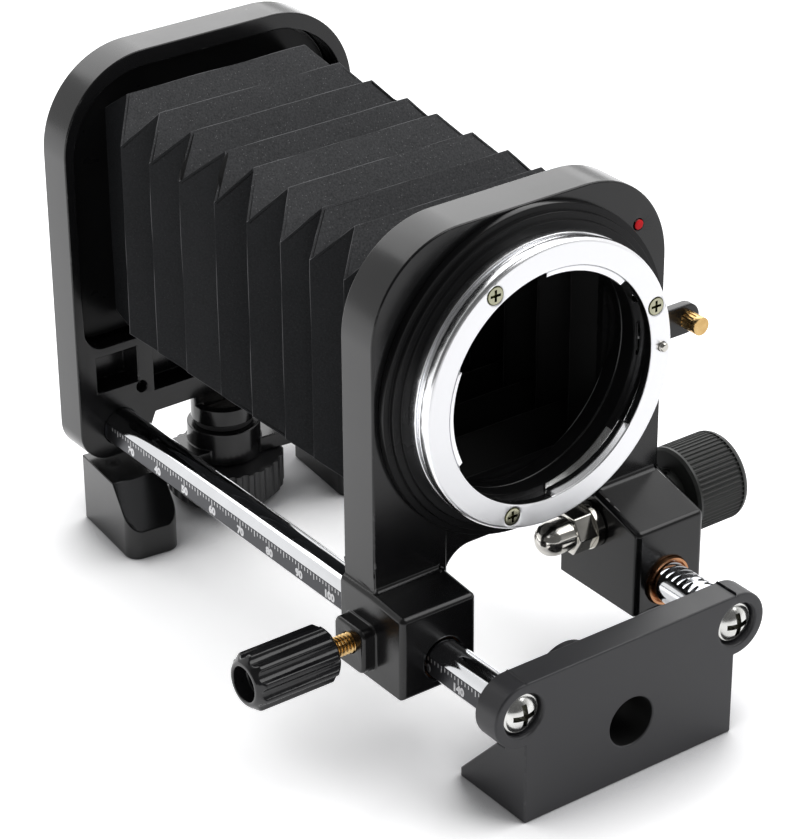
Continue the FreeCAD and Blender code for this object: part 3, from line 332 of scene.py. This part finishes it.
def finish(name, dark, light, rough, metal=0.0, grain=900.0, mottle=60.0, depth=0.00001,
           worn=0.0, specks=0.0, specular=0.5):
    """Painted, plated or moulded surface from the shared skin, wear and dust."""
    material, tree, out = blank_material(name)
    shader = tree.nodes.new("ShaderNodeBsdfPrincipled")
    join(tree, shader.outputs[0], out.inputs[0])
    layer = use_group(tree, skin, Scale=grain, Mottle=mottle)
    colour = mix_colour(tree, between(tree, layer["Mottling"], 0.0, 1.0), dark, light)
    if worn:
        lightened = use_group(tree, wear, Amount=worn)["Worn"]
        colour = mix_colour(tree, lightened, colour, worn_colour)
    if specks:
        dots = use_group(tree, dust, Amount=specks)["Specks"]
        colour = mix_colour(tree, dots, colour, speck_colour)
    join(tree, colour, shader.inputs["Base Color"])
    join(tree, between(tree, layer["Mottling"], rough[0], rough[1]), shader.inputs["Roughness"])
    join(tree, bump(tree, layer["Grain"], depth), shader.inputs["Normal"])
    shader.inputs["Metallic"].default_value = metal
    shader.inputs["Specular IOR Level"].default_value = specular
    return material


def loose_copy(source):
    """Bmesh copy of a CAD piece with its triangles joined."""
    bm = bmesh.new()
    bm.from_mesh(source.data)
    bmesh.ops.remove_doubles(bm, verts=bm.verts[:], dist=1e-6)
    return bm


def dressed(node, name, width, segments=3, corner=32.0, chosen=None):
    """Copy of a CAD piece with its edges rounded over, which stands for that piece."""
    source = frame["nodes"][node]
    bm = loose_copy(source)
    limit = math.radians(corner)
    if width:
        sharp = []
        for edge in bm.edges:
            middle = (edge.verts[0].co + edge.verts[1].co) / 2
            corner_edge = edge.is_manifold and edge.calc_face_angle() > limit
            if corner_edge and (not chosen or chosen(middle)):
                sharp.append(edge)
        bmesh.ops.bevel(bm, geom=sharp, offset=width, offset_type="OFFSET", segments=segments,
                        profile=0.5, affect="EDGES", clamp_overlap=False, loop_slide=False,
                        material=-1)
    for face in bm.faces:
        face.smooth = True
    for edge in bm.edges:
        edge.smooth = edge.is_manifold and edge.calc_face_angle() < limit
    piece = mesh_object(name, bm)
    even = piece.modifiers.new("even_normals", "WEIGHTED_NORMAL")
    even.keep_sharp = True
    even.weight = 100
    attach(piece, source["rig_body"])
    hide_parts(node)
    return piece


def paint(piece, material):
    piece.data.materials.clear()
    piece.data.materials.append(material)


def plate_node(node, material):
    """A CAD piece whose shape is right keeps it and gets its finish."""
    mesh = frame["nodes"][node].data
    mesh.materials.clear()
    mesh.materials.append(material)


casting = finish("black_casting_paint", (0.006, 0.006, 0.0065), (0.009, 0.009, 0.0095),
                 (0.17, 0.26), grain=1400.0, depth=0.000004, worn=0.6, specks=0.012, specular=0.44)
rear = dressed("rear_standard", "rear_standard_casting", 0.0003)
paint(rear, casting)

# ---- rails ----
# Ground steel rods with hard chrome, held in the rear standard by grub screws. The left one has
# a milled flat for the scale, the right one a rack cut in its top.
rail_colour = (0.80, 0.81, 0.83)


def darker(colour, share):
    return tuple(share * value for value in colour)


def rail_chrome(name):
    return finish(name, darker(rail_colour, 0.93), rail_colour, (0.05, 0.10), metal=1.0,
                  grain=2600.0, mottle=160.0, depth=0.000001)


def split_place(tree):
    """The X, Y and Z of a point of the piece."""
    split = tree.nodes.new("ShaderNodeSeparateXYZ")
    join(tree, object_place(tree), split.inputs[0])
    return split.outputs


def reset_roughness(tree, shader, mask, value):
    """Where the mask is 1, the roughness becomes the given one."""
    rough = tree.nodes.new("ShaderNodeMix")
    join(tree, mask, rough.inputs["Factor"])
    join(tree, shader.inputs["Roughness"].links[0].from_socket, rough.inputs["A"])
    rough.inputs["B"].default_value = value
    join(tree, rough.outputs["Result"], shader.inputs["Roughness"])


plate_node("rack_rail", rail_chrome("rail_chrome"))

# The flat is milled and left satin, so it is darker than the round of the rail.
flat_colour = (0.056, 0.057, 0.062)
flat_roughness = 0.30
flat_begins = -0.02860
flat_edge_x = -0.0285
flat_low = 0.02167
edge_reach = 0.0002
scale_chrome = rail_chrome("scale_rail_chrome")
tree = scale_chrome.node_tree
shader = tree.nodes["Principled BSDF"]
flat = math_node(tree, "LESS_THAN", split_place(tree)["X"], flat_begins)
round_colour = shader.inputs["Base Color"].links[0].from_socket
join(tree, mix_colour(tree, flat, round_colour, flat_colour), shader.inputs["Base Color"])
reset_roughness(tree, shader, flat, flat_roughness)


def low_edge_of_flat(middle):
    return abs(middle.z - flat_low) < edge_reach and middle.x < flat_edge_x


scale_rail = dressed("scale_rail", "scale_rail_rod", 0.00028, 3, 20.0, low_edge_of_flat)
paint(scale_rail, scale_chrome)

# ---- scale ----
# Millimetre scale along the top edge of the flat: marks and numbers, cut through its dark finish
# to the bright metal.
flat_x = -0.02865
flat_top = 0.02525
scale_zero = 0.02055
mark_height = 0.00006
mark_width = 0.00022
ten_mark = 0.0015
five_mark = 0.0013
single_mark = 0.0008
number_foot = 0.02210
number_size = 0.0022
number_height = 0.00003
number_weight = 0.00013
marks_metal = finish("scale_marks", (0.50, 0.50, 0.51), (0.62, 0.62, 0.63), (0.35, 0.45), metal=1.0,
                     grain=3000.0)


def at_reading(reading, height):
    """Place on the flat for a reading in millimetres."""
    return Matrix.Translation((flat_x, scale_zero - 0.001 * reading, height))


bm = bmesh.new()
for reading in range(23, 147):
    length = ten_mark if reading % 10 == 0 else five_mark if reading % 5 == 0 else single_mark
    size = Matrix.Diagonal((mark_height, mark_width, length, 1))
    bmesh.ops.create_cube(bm, size=1.0, matrix=at_reading(reading, flat_top - length / 2) @ size)
scale = mesh_object("scale_marks", bm)
paint(scale, marks_metal)
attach(scale, "frame")
# The numbers face -X and read towards the front of the unit.
number_turn = Matrix(((0, 0, -1), (-1, 0, 0), (0, 1, 0))).to_4x4()
for reading in range(30, 150, 10):
    text = bpy.data.curves.new("number", "FONT")
    text.body = str(reading)
    text.size = number_size
    text.align_x = "CENTER"
    text.extrude = number_height
    text.offset = number_weight
    holder = link_to_scene("number", text)
    number = bpy.data.meshes.new_from_object(holder)
    bpy.data.objects.remove(holder)
    number.transform(at_reading(reading, number_foot) @ number_turn)
    piece = link_to_scene(f"scale_number_{reading}", number)
    paint(piece, marks_metal)
    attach(piece, "frame")

# ---- front plate ----
# Cast and machined plate that ties the rails together and stands on the table, satin black.
# Two zinc-plated cross-head screws hold it to the ends of the rails.
rod_axis = [(0.0, 0.0122)]
rod_hole_reach = 0.0052
rail_axes = [(-0.0251, 0.0235), (0.0251, 0.0235)]
plate_head_rim = 0.003
wall_tilt = 0.4
plate_paint = finish("front_plate_paint", (0.026, 0.026, 0.029), (0.034, 0.034, 0.038),
                     (0.36, 0.46), grain=1800.0, depth=0.000005, worn=0.5, specks=0.008)
front_plate = dressed("front_plate", "front_plate_casting", 0.0004, 3, 46.0)
paint(front_plate, plate_paint)


def off_axis(point, axes):
    """Distance from the nearest of some axes that run from front to back."""
    return min(math.hypot(point.x - x, point.z - z) for x, z in axes)


def darken_recess(piece, axes, material, reach, depth=math.inf):
    """The walls of a hole, or of the cross driven in a screw head, get a darker material: painted
    shade.
    """
    piece.data.materials.append(material)
    front = min(vert.co.y for vert in piece.data.vertices)
    for face in piece.data.polygons:
        inside = abs(face.normal.y) < wall_tilt or face.center.y > front + depth
        if inside and off_axis(face.center, axes) < reach:
            face.material_index = 1


def outside(axes, radius):
    """Picks the edges outside a radius, so the cross in a screw head stays sharp."""
    return lambda middle: off_axis(middle, axes) > radius


# The walls of the rod hole are painted near black: painted shade.
hole_painted_shade = finish("rod_hole_painted_shade", (0.002, 0.002, 0.002), (0.003, 0.003, 0.003), (0.5, 0.6))
darken_recess(front_plate, rod_axis, hole_painted_shade, reach=rod_hole_reach)
zinc = finish("zinc_plate", (0.70, 0.70, 0.67), (0.84, 0.84, 0.82), (0.16, 0.26), metal=1.0,
              grain=2500.0, mottle=300.0, depth=0.000003)
screws = dressed("front_plate_screws", "front_plate_pan_screws", 0.00022, 3,
                 chosen=outside(rail_axes, plate_head_rim))
paint(screws, zinc)
# The cross in each head is painted dark: painted shade in the recess.
painted_cross_shade = finish("zinc_cross_painted_shade", (0.10, 0.10, 0.085), (0.20, 0.20, 0.17), (0.2, 0.3), metal=1.0,
                    grain=2500.0)
darken_recess(screws, rail_axes, painted_cross_shade, reach=0.0026, depth=0.0009)

# ---- grub screws ----
# Short headless screws of blackened steel. One clamps a rod in the hole of the front plate, the
# others hold the rails, the tripod socket and the focus knob.
oxide = finish("black_oxide", (0.02, 0.02, 0.02), (0.035, 0.035, 0.037), (0.35, 0.5), metal=0.6,
               grain=2000.0)
for node in ("rod_set_screw", "rail_grub_screws", "tripod_socket_grub_screw", "knob_set_screw"):
    plate_node(node, oxide)

# ---- tripod socket, swivelling foot and wheel ----
# The socket is a nickelled stud, the foot a casting that turns about it, and the fluted wheel
# under it is moulded. A fibre washer lies between the stud's shoulder and the foot.
nickel = finish("bright_nickel", (0.62, 0.60, 0.55), (0.74, 0.72, 0.68), (0.08, 0.16), metal=1.0,
                grain=2500.0, mottle=250.0, depth=0.000002)
plate_node("tripod_socket", nickel)
foot = dressed("swivel_foot", "swivel_foot_casting", 0.0003)
paint(foot, casting)
washer = finish("black_fibre", (0.015, 0.015, 0.015), (0.03, 0.03, 0.03), (0.7, 0.85),
                depth=0.00002)
plate_node("swivel_washer", washer)
moulding = finish("black_moulding", (0.016, 0.016, 0.017), (0.024, 0.024, 0.025), (0.32, 0.42),
                  grain=1600.0)
wheel = dressed("tripod_wheel", "tripod_wheel_moulding", 0.00015, 2)
paint(wheel, moulding)

# ---- camera bayonet ----
# Chromed brass flange with three tabs, held by four countersunk screws.
# Turned faces carry fine concentric marks about the optical axis.
marks_axis_height = 0.071
turned, entry, leave = shader_group("turning_marks", [("Pitch", 9000.0)], ["Marks"])
shift = turned.nodes.new("ShaderNodeMapping")
shift.inputs["Location"].default_value = (0, 0, -marks_axis_height)
join(turned, object_place(turned), shift.inputs["Vector"])
split = turned.nodes.new("ShaderNodeSeparateXYZ")
join(turned, shift.outputs[0], split.inputs[0])
across = math_node(turned, "MULTIPLY", split.outputs["X"], split.outputs["X"])
rising = math_node(turned, "MULTIPLY", split.outputs["Z"], split.outputs["Z"])
distance = math_node(turned, "SQRT", math_node(turned, "ADD", across, rising))
line = turned.nodes.new("ShaderNodeTexNoise")
line.noise_dimensions = "1D"
line.inputs["Detail"].default_value = 4.0
join(turned, distance, line.inputs["W"])
join(turned, entry.outputs["Pitch"], line.inputs["Scale"])
join(turned, line.outputs["Fac"], leave.inputs["Marks"])

# Only the front face of the lens ring is satin. Its sides, the mouth behind it and the camera
# flange are polished.
satin_face_ends = -0.10930
polish_roughness = 0.20
marks_depth = 0.000004


def turned_chrome(name, colour, rough):
    material = finish(name, darker(colour, 0.95), colour, rough, metal=1.0, grain=2200.0,
                      mottle=90.0, depth=0.000001)
    tree = material.node_tree
    shader = tree.nodes["Principled BSDF"]
    marks = use_group(tree, turned)["Marks"]
    behind_face = math_node(tree, "GREATER_THAN", split_place(tree)["Y"], satin_face_ends)
    reset_roughness(tree, shader, behind_face, polish_roughness)
    grained = shader.inputs["Normal"].links[0].from_socket
    join(tree, bump(tree, marks, marks_depth, grained), shader.inputs["Normal"])
    return material


flange_chrome = turned_chrome("flange_chrome", (0.62, 0.625, 0.64), (0.25, 0.35))
camera_mount = dressed("camera_mount", "camera_mount_flange", 0.0002, 2)
paint(camera_mount, flange_chrome)
grey_zinc = finish("grey_zinc", (0.20, 0.20, 0.19), (0.30, 0.30, 0.28), (0.2, 0.3), metal=1.0,
                   grain=2500.0)
plate_node("camera_mount_screws", grey_zinc)

# ---- front standard ----
# The sliding casting: a plate round the lens opening on two blocks that run on the rails.
# Bronze bushes are pressed in the blocks for the rails and for the focus shaft.
front = dressed("front_standard", "front_standard_casting", 0.00042)
paint(front, casting)
bronze = finish("bush_bronze", (0.42, 0.19, 0.09), (0.62, 0.33, 0.17), (0.25, 0.4), metal=1.0,
                grain=2200.0, mottle=350.0)
for node in ("scale_rail_bushes", "rack_rail_bushes", "focus_shaft_bushes"):
    plate_node(node, bronze)

# ---- lens mount ----
# Stepped black base and chromed bayonet ring with three lugs, held together by three screws of
# yellow zinc, with leaf springs behind the lugs and a red index.
lens_axis_height = 0.071003
screw_circle = 0.0255
screw_turns = (20.0, 121.0, 250.0)
cross_reach = 0.00125
cross_rim = 0.0014
head_rim = 0.00165
base_paint = finish("mount_base_black", (0.007, 0.007, 0.0075), (0.010, 0.010, 0.0105),
                    (0.26, 0.34), grain=2000.0, specular=0.16)
base = dressed("mount_base", "mount_base_steps", 0.00025, 2)
paint(base, base_paint)
ring_chrome = turned_chrome("mount_chrome", (0.96, 0.965, 0.98), (0.32, 0.42))
ring = dressed("mount_ring", "mount_ring_bayonet", 0.00022, 2)
paint(ring, ring_chrome)
yellow_zinc = finish("yellow_zinc", (0.34, 0.34, 0.24), (0.50, 0.49, 0.36), (0.12, 0.22), metal=1.0,
                     grain=2500.0, mottle=200.0, depth=0.000003)
screw_axes = []
for turn in screw_turns:
    angle = math.radians(turn)
    screw_axes.append((screw_circle * math.cos(angle),
                       lens_axis_height + screw_circle * math.sin(angle)))
ring_screws = dressed("mount_ring_screws", "mount_ring_screw_heads", 0.00028, 3,
                      chosen=outside(screw_axes, cross_rim))
paint(ring_screws, yellow_zinc)
# The cross in each head is painted dark: painted shade in the recess.
painted_yellow_cross_shade = finish("yellow_zinc_cross_painted_shade", (0.03, 0.03, 0.012), (0.08, 0.08, 0.03), (0.2, 0.3),
                      metal=1.0, grain=2500.0)
darken_recess(ring_screws, screw_axes, painted_yellow_cross_shade, reach=cross_reach, depth=0.0001)
# The rim of each head lies in the shade of its countersink and is painted with the same dark
# colour as the cross: painted shade.
for face in ring_screws.data.polygons:
    if off_axis(face.center, screw_axes) > head_rim:
        face.material_index = 1
plate_node("bayonet_springs", zinc)
red = finish("index_red", (0.74, 0.008, 0.014), (0.86, 0.012, 0.02), (0.45, 0.55), grain=2500.0,
             specular=0.2)
index = dressed("index_dot", "index_dot_paint", 0.00015, 3)
paint(index, red)

# ---- lens release ----
# Thin black arm that slides back with the lens lock pin, and a knurled brass pin for the thumb.
# A coil spring is pressed between the arm and the bottom of its pocket in the front standard.
arm = dressed("release_arm", "release_arm_plate", 0.0003)
paint(arm, casting)
plate_node("lens_lock_pin", nickel)
brass = finish("turned_brass", (0.58, 0.36, 0.13), (0.76, 0.53, 0.24), (0.18, 0.3), metal=1.0,
               grain=2500.0, mottle=400.0, depth=0.000003)
thumb = dressed("release_thumb_pin", "release_thumb_pin_knurled", 0.00008, 2)
paint(thumb, brass)
bm = loose_copy(frame["nodes"]["release_spring"])
for face in bm.faces:
    face.smooth = True
spring = mesh_object("release_spring_coil", bm)
paint(spring, zinc)
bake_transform(spring)
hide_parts("release_spring")

# ---- scale rail lock ----
# Fluted glossy knob on a brass screw, which presses a brass pad on the rail. The thread's ridge
# is spun on the screw's core.
thread_pitch = 0.0007
thread_core = 0.00162
thread_root = 0.95 * thread_core
thread_crest = 0.00198
half_ridge = 0.45 * thread_pitch
plain_turns = 2
turn_steps = 28
plate_node("lock_pad", brass)
screw_low, screw_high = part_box("lock_screw")
screw_axis = (Vector(screw_low) + Vector(screw_high)) / 2
along_x = Matrix.Rotation(math.radians(90), 4, "Y")
bm = bmesh.new()
bmesh.ops.create_cone(bm, cap_ends=True, segments=turn_steps, radius1=thread_core,
                      radius2=thread_core, depth=screw_high[0] - screw_low[0],
                      matrix=Matrix.Translation(screw_axis) @ along_x)
thread_start = screw_low[0] + plain_turns * thread_pitch
turns = int((screw_high[0] - thread_start) / thread_pitch) - plain_turns
section = []
for shift, radius in ((-half_ridge, thread_root), (0.0, thread_crest), (half_ridge, thread_root)):
    section.append(bm.verts.new((thread_start + shift, screw_axis.y, screw_axis.z + radius)))
ridge = [bm.edges.new((section[number], section[(number + 1) % 3])) for number in range(3)]
bmesh.ops.spin(bm, geom=section + ridge, cent=(0, screw_axis.y, screw_axis.z), axis=(1, 0, 0),
               dvec=(thread_pitch / turn_steps, 0, 0), angle=2 * math.pi * turns,
               steps=turn_steps * turns, use_merge=False, use_duplicate=False)
bmesh.ops.holes_fill(bm, edges=[edge for edge in bm.edges if edge.is_boundary], sides=3)
bmesh.ops.recalc_face_normals(bm, faces=bm.faces[:])
lock_screw = mesh_object("lock_screw_threaded", bm)
paint(lock_screw, brass)
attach(lock_screw, "lock_knob")
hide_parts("lock_screw")
gloss = finish("gloss_black_moulding", (0.009, 0.009, 0.010), (0.020, 0.020, 0.022), (0.08, 0.20),
               grain=500.0, mottle=160.0, depth=0.00003)
lock_knob = dressed("lock_knob", "lock_knob_fluted", 0.00025, 3)
paint(lock_knob, gloss)

# ---- focus drive ----
# Nickelled cross shaft with a brass pinion, a collar and an acorn nut on its inner end, and a
# ribbed black knob outside the block.
for node in ("focus_shaft", "shaft_collar"):
    plate_node(node, nickel)
plate_node("focus_pinion", brass)
nut = dressed("acorn_nut", "acorn_nut_domed", 0.00025, 2)
paint(nut, nickel)
ribbed = finish("ribbed_black_moulding", (0.022, 0.024, 0.022), (0.032, 0.034, 0.032), (0.40, 0.50),
                grain=1500.0, depth=0.000008)
focus_knob = dressed("focus_knob", "focus_knob_ribbed", 0.0)
paint(focus_knob, ribbed)

# ---- bellows frames ----
# Thin black frames glued in the recesses of the two standards, which hold the ends of the
# bellows.
for node in ("bellows_rear_frame", "bellows_front_frame"):
    plate_node(node, base_paint)

# ---- bellows ----
# Black coated cloth folded into pleats, with its ends in the two frames. Where the top rises to
# a ridge, the sides are drawn in. The cloth is lighter along every fold, and its upward faces
# are painted lighter than its sides: painted light from above.
bellows_front = -0.0955
bellows_rear = 0.0040
# Each outline across the bellows has a half width, a lowest and a highest edge. A valley of the
# top is a ridge of the sides.
end_outline = (0.0225, 0.0480, 0.0926)
ridge_outline = (0.0213, 0.0436, 0.0974)
valley_outline = (0.0275, 0.0494, 0.0902)
ridge_places = (-0.0026, -0.0146, -0.0258, -0.0375, -0.0470, -0.0583, -0.0691, -0.0791, -0.0890)
valley_places = (-0.0095, -0.0198, -0.0303, -0.0424, -0.0532, -0.0642, -0.0735, -0.0840)
cloth_thickness = 0.0005
crease_width = 0.00018
fold_line_width = 0.0001
crease_angle = math.radians(14)
longest_edge = 0.012
longest_across = 0.0045
sag_depth = 0.00020
sag_scale = 90.0
ripple_depth = 0.00004
ripple_scale = 400.0
upward = 0.3


def pleat_loop(bm, half_width, low, high, place):
    """Rectangle across the bellows at one fold; its four edges."""
    middle = Matrix.Translation((0, place, (low + high) / 2))
    size = Matrix.Diagonal((half_width, (high - low) / 2, 1, 1))
    made = bmesh.ops.create_grid(bm, x_segments=1, y_segments=1, size=1.0,
                                 matrix=middle @ Matrix.Rotation(math.radians(90), 4, "X") @ size)
    faces = list({face for vert in made["verts"] for face in vert.link_faces})
    edges = list({edge for vert in made["verts"] for edge in vert.link_edges})
    bmesh.ops.delete(bm, geom=faces, context="FACES_ONLY")
    return edges


folds = [(bellows_rear, end_outline)]
for number, place in enumerate(ridge_places):
    folds.append((place, ridge_outline))
    if number < len(valley_places):
        folds.append((valley_places[number], valley_outline))
folds.append((bellows_front, end_outline))
bm = bmesh.new()
loops = [pleat_loop(bm, *outline, place) for place, outline in folds]
for first, second in zip(loops, loops[1:]):
    bmesh.ops.bridge_loops(bm, edges=first + second)
bmesh.ops.recalc_face_normals(bm, faces=bm.faces[:])
creases = [edge for edge in bm.edges if edge.is_manifold]
crease_lines = [(edge.verts[0].co.copy(), edge.verts[1].co.copy()) for edge in creases]
bmesh.ops.bevel(bm, geom=creases, offset=crease_width, offset_type="OFFSET", segments=2,
                profile=0.5, affect="EDGES", clamp_overlap=False, material=-1)
long_edges = [edge for edge in bm.edges if edge.calc_length() > longest_edge]
bmesh.ops.subdivide_edges(bm, edges=long_edges, cuts=11, use_grid_fill=True)
wide_edges = [edge for edge in bm.edges if edge.calc_length() > longest_across]
bmesh.ops.subdivide_edges(bm, edges=wide_edges, cuts=3, use_grid_fill=True)
# The cloth is not quite flat between its folds.
bm.normal_update()
for vert in bm.verts:
    sag = noise.noise(vert.co * sag_scale) * sag_depth
    ripple = noise.noise(vert.co * ripple_scale) * ripple_depth
    vert.co += vert.normal * (sag + ripple)


def to_line(point, line):
    """Distance of a point from a crease, given by its two ends."""
    start, end = line
    along = (point - start).dot(end - start) / (end - start).length_squared
    return (point - start - (end - start) * min(1.0, max(0.0, along))).length


# The material reads where the cloth is folded, and which faces look up: those get painted light
# from above and the dust specks.
fold_layer = bm.verts.layers.float.new("fold")
for vert in bm.verts:
    near = min(to_line(vert.co, line) for line in crease_lines)
    vert[fold_layer] = 1.0 if near < fold_line_width else 0.0
bm.normal_update()
upper_layer = bm.faces.layers.float.new("upper")
for face in bm.faces:
    face.smooth = True
    face[upper_layer] = 1.0 if face.normal.z > upward else 0.0
for edge in bm.edges:
    edge.smooth = edge.is_manifold and edge.calc_face_angle() < crease_angle
bellows = mesh_object("bellows_cloth", bm)
wall = bellows.modifiers.new("wall", "SOLIDIFY")
wall.thickness = cloth_thickness
wall.offset = -1.0
wall.material_offset = 1
wall.material_offset_rim = 1

cloth, tree, out = blank_material("bellows_cloth")
shader = tree.nodes.new("ShaderNodeBsdfPrincipled")
join(tree, shader.outputs[0], out.inputs[0])
layer = use_group(tree, skin, Scale=2600.0, Mottle=220.0)
upper = tree.nodes.new("ShaderNodeAttribute")
upper.attribute_name = "upper"
fold = tree.nodes.new("ShaderNodeAttribute")
fold.attribute_name = "fold"
lit_from_above_and_dusty = upper.outputs["Fac"]
mottling = between(tree, layer["Mottling"], 0, 1)
# Upward faces are painted lighter than the sides, their grain too: painted light from above.
shaded_side = mix_colour(tree, mottling, (0.010, 0.011, 0.012), (0.015, 0.016, 0.018))
painted_lit_top = mix_colour(tree, mottling, (0.036, 0.037, 0.039), (0.048, 0.049, 0.052))
colour = mix_colour(tree, lit_from_above_and_dusty, shaded_side, painted_lit_top)
grain = mix_colour(tree, lit_from_above_and_dusty, (0.032, 0.033, 0.036), (0.12, 0.122, 0.128))
colour = mix_colour(tree, between(tree, layer["Grain"], 0, 0.6), colour, grain)
# Every fold line is painted lighter.
lightened = math_node(tree, "MULTIPLY", fold.outputs["Fac"],
                   between(tree, layer["Mottling"], 0.65, 1.0))
colour = mix_colour(tree, lightened, colour, (0.24, 0.24, 0.25))
specks = use_group(tree, dust, Scale=1500.0, Amount=0.55)["Specks"]
specks = math_node(tree, "MULTIPLY", specks, between(tree, lit_from_above_and_dusty, 0.08, 0.75))
colour = mix_colour(tree, specks, colour, (0.22, 0.22, 0.225))
join(tree, colour, shader.inputs["Base Color"])
shader.inputs["Roughness"].default_value = 0.62
shader.inputs["Specular IOR Level"].default_value = 0.20
shader.inputs["Sheen Weight"].default_value = 0.06
shader.inputs["Sheen Roughness"].default_value = 0.45
shader.inputs["Sheen Tint"].default_value = (0.8, 0.8, 0.82, 1)
join(tree, bump(tree, layer["Grain"], 0.00004), shader.inputs["Normal"])
paint(bellows, cloth)
lining = finish("bellows_lining", (0.0015, 0.0015, 0.0016), (0.003, 0.003, 0.0032), (0.8, 0.9),
                grain=2600.0)
bellows.data.materials.append(lining)
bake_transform(bellows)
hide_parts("bellows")
